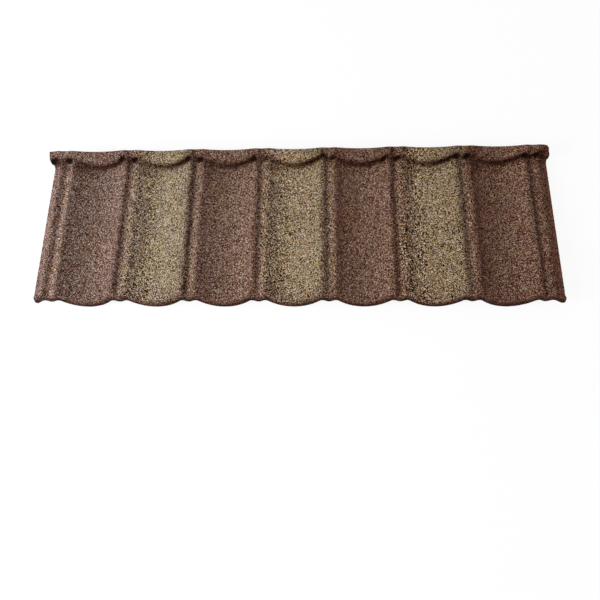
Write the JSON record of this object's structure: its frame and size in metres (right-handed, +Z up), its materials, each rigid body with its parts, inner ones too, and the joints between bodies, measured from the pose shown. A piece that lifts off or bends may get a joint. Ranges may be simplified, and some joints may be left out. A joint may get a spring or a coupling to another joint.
{
  "type": "tile effect metal roofing sheet",
  "caption": "Pressed steel roofing sheet with a stone chip coat: rows of shallow pans and double-ridged ribs, a down-turned nose in front and an upstand behind.",
  "frame": {"origin": "middle of the footprint, on the floor that the sheet rests on", "axes": "+X across the waves, +Y up the slope from the nose to the upstand, +Z up"},
  "size_m": [1.358, 0.4248, 0.0481],
  "materials": {
    "stone_chip_coat": "matt stone chip coat in brown and tan bands on zinc coated steel, plain primer below"
  },
  "bodies": {
    "root": {"sheet": "stone_chip_coat"}
  },
  "joints": []
}
